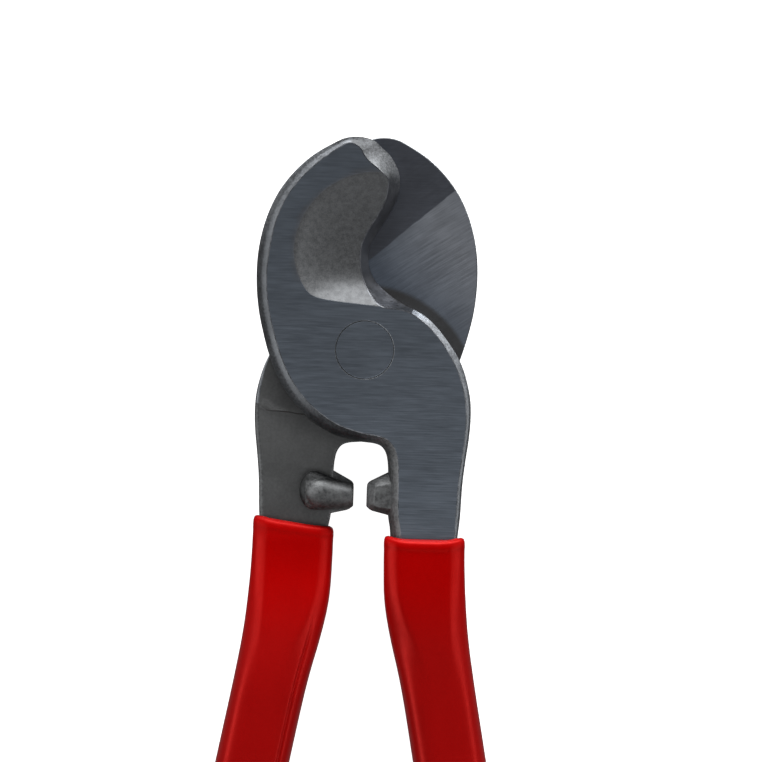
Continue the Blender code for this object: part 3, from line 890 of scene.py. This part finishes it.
def ground_steel():
    """Outer side: horizontal brushing on the ground face, and a blasted finish down in the hollow."""
    f = Finish("ground_steel_face")
    y, z = f.split()[1], f.math("ABSOLUTE", f.split()[2])
    lines, scratch = grain(f), scratches(f)
    cloud = f.noise((90.0, 170.0, 90.0), 4.0, 0.6)
    ridges = f.math("SINE", f.math("MULTIPLY", y, 2 * math.pi / (0.55 * MM)))
    ridges = f.math("MULTIPLY", ridges, f.ramp(y, -4.0 * MM, -20.0 * MM, 0.0, 0.045))
    sand = f.noise((3400.0, 3400.0, 3400.0), 3.0, 0.65)
    pits = f.noise((900.0, 900.0, 900.0), 2.0, 0.5, offset=(5.0, 1.0, 2.0))
    deep = f.ramp(z, FACE - 0.003 * MM, FACE - 0.06 * MM)
    rim = f.math("ADD", far_from(f, *BOWL_CENTRE), f.ramp(cloud, 0.3, 0.7, -0.6 * MM, 0.6 * MM))
    haze = f.math("MULTIPLY", f.ramp(rim, 20.6 * MM, 18.6 * MM), f.ramp(y, 13.0 * MM, 18.0 * MM, 0.0, 0.6))
    shade = f.math("ADD", f.ramp(lines, 0.3, 0.7, 0.93, 1.07), f.ramp(cloud, 0.3, 0.7, -0.07, 0.07))
    shade = f.math("ADD", shade, ridges)
    shade = f.math("SUBTRACT", shade, f.math("MULTIPLY", scratch, 0.07))
    # Painted shade: the ground face is darker towards the jaw's tip and lighter towards the handles.
    shade = f.math("MULTIPLY", shade, f.ramp(y, 32.0 * MM, -44.0 * MM, 0.73, 1.0, smooth=False))
    face = f.tint((0.262, 0.302, 0.36), shade)
    blast = f.math("ADD", f.ramp(sand, 0.3, 0.7, 0.82, 1.18), f.ramp(pits, 0.3, 0.7, -0.12, 0.12))
    # Painted highlight: the blasted hollow is lighter down on its wall near the pivot, which faces the
    # light.
    blast = f.math("MULTIPLY", blast, f.ramp(y, 20.0 * MM, 14.5 * MM, 1.0, 1.22))
    hollow = f.tint((0.132, 0.136, 0.141), blast)
    colour = f.mix(deep, f.mix(haze, face, (0.205, 0.208, 0.222)), hollow)
    roughness = f.mix_value(deep, f.ramp(lines, 0.3, 0.7, 0.36, 0.44), f.ramp(sand, 0.3, 0.7, 0.5, 0.62))
    height = f.mix_value(deep, f.math("MULTIPLY", lines, 0.25), sand)
    return f.done(colour, roughness, f.bump(height, 0.3, 0.05 * MM))


def edge_steel():
    """Bevels and rims, ground and a little worn, with a painted highlight on the disc's rim and painted
    shade along the back.
    """
    f = Finish("ground_steel_edge")
    x, y, z = f.split()[:3]
    fine = f.noise((1900.0, 1900.0, 900.0), 3.0, 0.65)
    broad = f.noise((260.0, 260.0, 260.0), 3.0, 0.6)
    # Painted light and shade along the back: lightest up the jaw, darkest round the lower disc, a little
    # darker from the pivot up, and dulled at the apex.
    back = f.ramp(y, 20.0 * MM, 34.0 * MM, 0.45, 0.85)
    back = f.math("MULTIPLY", back, f.ramp(y, -19.5 * MM, -11.0 * MM, 0.7, 1.42))
    back = f.math("MULTIPLY", back, f.ramp(y, -6.0 * MM, 4.0 * MM, 1.0, 0.78))
    back = f.math("MULTIPLY", back, f.ramp(y, 46.0 * MM, 48.3 * MM, 1.0, 0.7))
    # Painted light: low on the bevel, towards the lapping side, the jaw's back is lighter.
    outer = f.ramp(z, 3.4 * MM, 5.9 * MM, 1.55, 1.0)
    outer = f.mix_value(f.ramp(y, 14.0 * MM, 28.0 * MM), 1.0, outer)
    back = f.math("MULTIPLY", back, outer)
    # Painted highlight on the disc's rim on the cutting side, brightest towards its top.
    rim = f.ramp(y, -14.0 * MM, 6.0 * MM, 0.75, 1.5)
    level = f.mix_value(f.ramp(x, -2.0 * MM, 4.0 * MM), back, rim)
    shade = f.math("ADD", f.ramp(fine, 0.3, 0.7, 0.8, 1.2), f.ramp(broad, 0.3, 0.7, -0.15, 0.15))
    colour = f.tint((0.27, 0.285, 0.305), f.math("MULTIPLY", shade, level))
    return f.done(colour, f.ramp(fine, 0.3, 0.7, 0.42, 0.58), f.bump(fine, 0.3, 0.05 * MM))


def worn_highlight_steel():
    """Line along the creases where the finish has worn bright, patchy along its length, and a painted
    highlight on the crease as well.
    """
    f = Finish("ground_steel_worn_highlight")
    patch = f.noise((420.0, 420.0, 420.0), 3.0, 0.65)
    fine = f.noise((2400.0, 2400.0, 2400.0), 2.0, 0.6)
    shade = f.math("ADD", f.ramp(patch, 0.38, 0.62, 0.7, 1.5), f.ramp(fine, 0.3, 0.7, -0.12, 0.12))
    x, y, _ = f.split()[:3]
    # Painted shade on the line along the cutting side from the throat up; it is also a little darker
    # towards the back.
    throat = f.math("MULTIPLY", f.ramp(x, -6.0 * MM, -2.0 * MM), f.ramp(y, 8.0 * MM, 11.0 * MM))
    shade = f.math("MULTIPLY", shade, f.ramp(x, -14.0 * MM, -8.0 * MM, 0.7, 0.9))
    colour = f.tint((0.25, 0.262, 0.285), f.math("MULTIPLY", shade, f.ramp(throat, 0.0, 1.0, 1.0, 0.42)))
    return f.done(colour, f.ramp(fine, 0.3, 0.7, 0.4, 0.52), f.bump(fine, 0.3, 0.04 * MM))


def cutting_steel():
    """Cutting bevel: smooth and painted dark as shade along the throat, coarse and light on the tip, with
    painted shade at the apex.
    """
    f = Finish("ground_steel_cutting")
    sand = f.noise((2300.0, 2300.0, 2300.0), 3.0, 0.65)
    broad = f.noise((300.0, 300.0, 300.0), 2.0, 0.5)
    y = f.math("ADD", f.split()[1], f.ramp(broad, 0.3, 0.7, -0.8 * MM, 0.8 * MM))
    tip = f.ramp(y, 35.0 * MM, 43.0 * MM)
    # Painted light and shade on the smooth bevel: lighter about 16 mm up, darker down in the throat.
    level = f.ramp(y, 23.0 * MM, 16.0 * MM, 1.0, 1.5)
    level = f.math("MULTIPLY", level, f.ramp(y, 15.0 * MM, 11.5 * MM, 1.0, 0.62))
    smooth = f.tint((0.12, 0.121, 0.127), f.math("MULTIPLY", level, f.ramp(broad, 0.3, 0.7, 0.85, 1.15)))
    # Painted shade at the apex, darker towards its back.
    apex = f.ramp(y, 43.0 * MM, 48.0 * MM, 1.05, 0.8)
    apex = f.math("MULTIPLY", apex, f.ramp(f.split()[0], 0.0, -3.5 * MM, 1.0, 0.7))
    shade = f.math("ADD", f.ramp(sand, 0.3, 0.7, 0.65, 1.35), f.ramp(broad, 0.3, 0.7, -0.1, 0.1))
    coarse = f.tint((0.27, 0.28, 0.292), f.math("MULTIPLY", shade, apex))
    roughness = f.mix_value(tip, f.ramp(broad, 0.3, 0.7, 0.34, 0.44), f.ramp(sand, 0.3, 0.7, 0.5, 0.65))
    return f.done(f.mix(tip, smooth, coarse), roughness, f.bump(sand, 0.3, 0.05 * MM))


def lap_steel():
    """Lapping side: the jaw is ground in two directions that meet on a slant, with painted shadow beside
    the other half's disc, and the rest is forged.
    """
    f = Finish("ground_steel_lap")
    x, y, _ = f.split()[:3]
    wave = f.noise((160.0, 160.0, 160.0), 2.0, 0.5)
    cut = f.math("ADD", f.math("MULTIPLY", x, 0.653), f.math("MULTIPLY", y, 0.757))
    cut = f.math("ADD", cut, f.ramp(wave, 0.3, 0.7, -0.1 * MM, 0.1 * MM))
    along = f.math("SUBTRACT", f.math("MULTIPLY", y, 0.653), f.math("MULTIPLY", x, 0.757))
    upper = f.ramp(cut, 15.25 * MM, 15.65 * MM)
    lines, level = grain(f, 33.0, 4200.0, 1700.0), grain(f, 0.0, 3300.0, 1300.0)
    cloud = f.noise((120.0, 120.0, 120.0), 4.0, 0.6)
    mottle = f.ramp(cloud, 0.3, 0.7, -0.08, 0.08)
    # Painted shadow: a dark band on the jaw beside the other half's disc edge.
    edge = f.ramp(far_from(f, 0.24 * MM, -11.6 * MM), 25.9 * MM, 27.3 * MM)
    rise = f.ramp(along, 14.0 * MM, 31.0 * MM, smooth=False)
    light = f.mix(rise, (0.17, 0.2, 0.25), (0.325, 0.345, 0.385))
    light = f.tint(light, f.math("ADD", f.ramp(lines, 0.3, 0.7, 0.9, 1.1), mottle))
    light = f.mix(edge, (0.115, 0.115, 0.118), light)
    dark = f.tint((0.118, 0.127, 0.15), f.math("ADD", f.ramp(level, 0.3, 0.7, 0.92, 1.08), mottle))
    sand = f.noise((1500.0, 1500.0, 1500.0), 3.0, 0.6)
    tang = f.ramp(y, -1.0 * MM, -4.0 * MM)
    # Painted shade on the forged part: darker above the step, under the other half's disc, and darker
    # further down the tang.
    shade = f.ramp(y, -13.6 * MM, -14.6 * MM, 0.75, 0.86)
    shade = f.math("ADD", shade, f.ramp(y, -18.0 * MM, -36.0 * MM, 0.0, -0.2, smooth=False))
    shade = f.math("ADD", shade, mottle)
    # Painted shadow near the other half's disc edge.
    shade = f.math("MULTIPLY", shade, f.ramp(far_from(f, 0.0, 0.0), 20.0 * MM, 26.0 * MM, 0.72, 1.0))
    shade = f.math("MULTIPLY", f.ramp(sand, 0.3, 0.7, 0.93, 1.07), shade)
    forged = f.tint((0.215, 0.22, 0.222), shade)
    colour = f.mix(tang, f.mix(upper, light, dark), forged)
    roughness = f.mix_value(tang, f.ramp(lines, 0.3, 0.7, 0.42, 0.5), 0.55)
    height = f.mix_value(tang, f.math("MULTIPLY", lines, 0.4), f.math("MULTIPLY", sand, 0.6))
    return f.done(colour, roughness, f.bump(height, 0.25, 0.06 * MM))


def forged_steel():
    """As-forged surface: fine scale, with painted shadow on the boss's upper flank and round the dome's
    end, and a painted highlight on the dome and the web's top.
    """
    f = Finish("forged_steel")
    sand = f.noise((1500.0, 1500.0, 1500.0), 4.0, 0.65)
    broad = f.noise((350.0, 350.0, 350.0), 3.0, 0.6)
    shade = f.math("ADD", f.ramp(sand, 0.3, 0.7, 0.72, 1.28), f.ramp(broad, 0.3, 0.7, -0.18, 0.18))
    x, y, z = f.split()[:3]
    # Painted shadow on the boss's upper flank and round the dome's end, on the lapping side.
    boss_painted_shadow = f.math("MAXIMUM", f.ramp(y, -31.1 * MM, -29.9 * MM), f.ramp(x, 12.2 * MM, 12.9 * MM))
    boss_painted_shadow = f.math("MULTIPLY", boss_painted_shadow, f.ramp(z, 0.2 * MM, -0.8 * MM))
    boss_painted_shadow = f.math("MULTIPLY", boss_painted_shadow, f.ramp(y, -27.6 * MM, -28.2 * MM))
    # Painted highlight on the dome and on the web's top.
    boss_painted_highlight = f.ramp(far_from(f, 10.4 * MM, -31.7 * MM), 2.6 * MM, 0.6 * MM, 1.0, 1.35)
    boss_painted_highlight = f.math("MULTIPLY", boss_painted_highlight, f.ramp(z, 4.1 * MM, 4.35 * MM, 1.0, 1.25))
    shade = f.math("MULTIPLY", shade, f.math("MULTIPLY", boss_painted_highlight, f.ramp(boss_painted_shadow, 0.0, 1.0, 1.0, 0.42)))
    colour = f.tint((0.15, 0.154, 0.157), shade)
    return f.done(colour, f.ramp(sand, 0.3, 0.7, 0.5, 0.66), f.bump(sand, 0.35, 0.1 * MM))


def red_pvc():
    """Glossy vinyl with faint clouding and a fine orange-peel surface, darker lower down with a painted
    pale sheen, and a painted highlight under the rim.
    """
    f = Finish("red_pvc_grip")
    y = f.split()[1]
    cloud = f.noise((60.0, 40.0, 60.0), 3.0, 0.5)
    fine = f.noise((900.0, 900.0, 900.0), 2.0, 0.5)
    speck = f.noise((2600.0, 2600.0, 2600.0), 2.0, 0.6)
    shade = f.math("ADD", f.ramp(cloud, 0.3, 0.7, 0.95, 1.05), f.ramp(speck, 0.3, 0.7, -0.05, 0.05))
    # Lower down the grip is darker, with a painted pale sheen in its green and blue.
    lower_painted_sheen = f.ramp(y, -50.0 * MM, -72.0 * MM)
    # Painted highlight: the grip is lighter just under the rim, and rougher there.
    rim = f.ramp(y, -46.0 * MM, -42.0 * MM)
    shade = f.math("MULTIPLY", shade, f.ramp(rim, 0.0, 1.0, 1.0, 1.1))
    colour = f.tint(f.mix(lower_painted_sheen, (0.4, 0.0001, 0.0003), (0.34, 0.003, 0.003)), shade)
    roughness = f.math("ADD", f.ramp(fine, 0.3, 0.7, 0.3, 0.36), f.ramp(rim, 0.0, 1.0, 0.0, 0.12))
    normal = f.bump(fine, 0.06, 0.1 * MM)
    gloss = {"Specular_IOR_Level": 1.0, "Specular_Tint": (1.0, 0.04, 0.03, 1.0)}
    return f.done(colour, roughness, normal, metallic=0.0, **gloss)


# Stage


def add_floor(z):
    f = Finish("floor_white")
    cloud = f.noise((8.0, 8.0, 8.0), 2.0, 0.5)
    material = f.done(f.tint((0.9, 0.9, 0.9), f.ramp(cloud, 0.3, 0.7, 0.98, 1.0)), 0.9, metallic=0.0)
    f.shader.inputs["Emission Color"].default_value = (1.0, 1.0, 1.0, 1.0)
    f.shader.inputs["Emission Strength"].default_value = 1.0
    bm = bmesh.new()
    bmesh.ops.create_grid(bm, x_segments=8, y_segments=8, size=2.5)
    floor = new_object("floor", finish_mesh(bm, "floor"), [material])
    floor.location = (0.0, 0.0, z)
    floor.visible_glossy = False
    floor.visible_diffuse = False


def add_area(name, location, target, size, power):
    data = bpy.data.lights.new(name, "AREA")
    data.shape = "RECTANGLE"
    data.size, data.size_y = size
    data.energy = power
    light = bpy.data.objects.new(name, data)
    bpy.context.scene.collection.objects.link(light)
    light.location = location
    aim = Vector(target) - Vector(location)
    light.rotation_euler = aim.to_track_quat("-Z", "Y").to_euler()
    light.visible_camera = False


def add_world(strength):
    world = bpy.data.worlds.new("studio")
    world.use_nodes = True
    background = world.node_tree.nodes["Background"]
    background.inputs["Color"].default_value = (1.0, 1.0, 1.0, 1.0)
    background.inputs["Strength"].default_value = strength
    bpy.context.scene.world = world


def add_camera():
    """Straight down with a long lens, rolled a little as the tool lies in the view."""
    data = bpy.data.cameras.new("camera")
    data.lens = LENS
    data.sensor_width = SENSOR
    data.clip_end = FAR_CLIP
    camera = bpy.data.objects.new("camera", data)
    bpy.context.scene.collection.objects.link(camera)
    camera.location = (*VIEW_CENTRE, 2 * FACE + VIEW_WIDTH * LENS / SENSOR)
    camera.rotation_euler = (0.0, 0.0, VIEW_ROLL)
    bpy.context.scene.camera = camera


def main():
    add_camera()
    steels = [ground_steel(), edge_steel(), cutting_steel(), lap_steel(), forged_steel(), worn_highlight_steel()]
    pvc = red_pvc()
    middle = Matrix.Translation((0.0, 0.0, FACE))
    places = {"front": middle, "rear": middle @ Matrix.Rotation(math.pi, 4, "Y")}
    for side, (top, tilt, dip) in GRIPS.items():
        body = f"{side}_half"
        blade = build_blade(f"{side}_forging", body, places[side], steels)
        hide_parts(f"{side}_blade")
        grip = new_object(f"{side}_sleeve", grip_mesh("grip", top * MM, tilt * MM, dip * MM), [pvc])
        grip.matrix_world = places[side]
        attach(grip, body)
        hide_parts(f"{side}_grip")
    rivet = new_object("flush_rivet", rivet_mesh("rivet"), [steels[GROUND]])
    rivet.data.set_sharp_from_angle(angle=SHARP_ANGLE)
    rivet.matrix_world = middle
    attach(rivet, "rear_half")
    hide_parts("pivot_rivet")

    add_floor(CAD_BOX[0][2])
    add_world(WORLD_LIGHT)
    for light in LIGHTS:
        add_area(*light)
    bpy.context.scene.view_settings.view_transform = "Standard"


main()
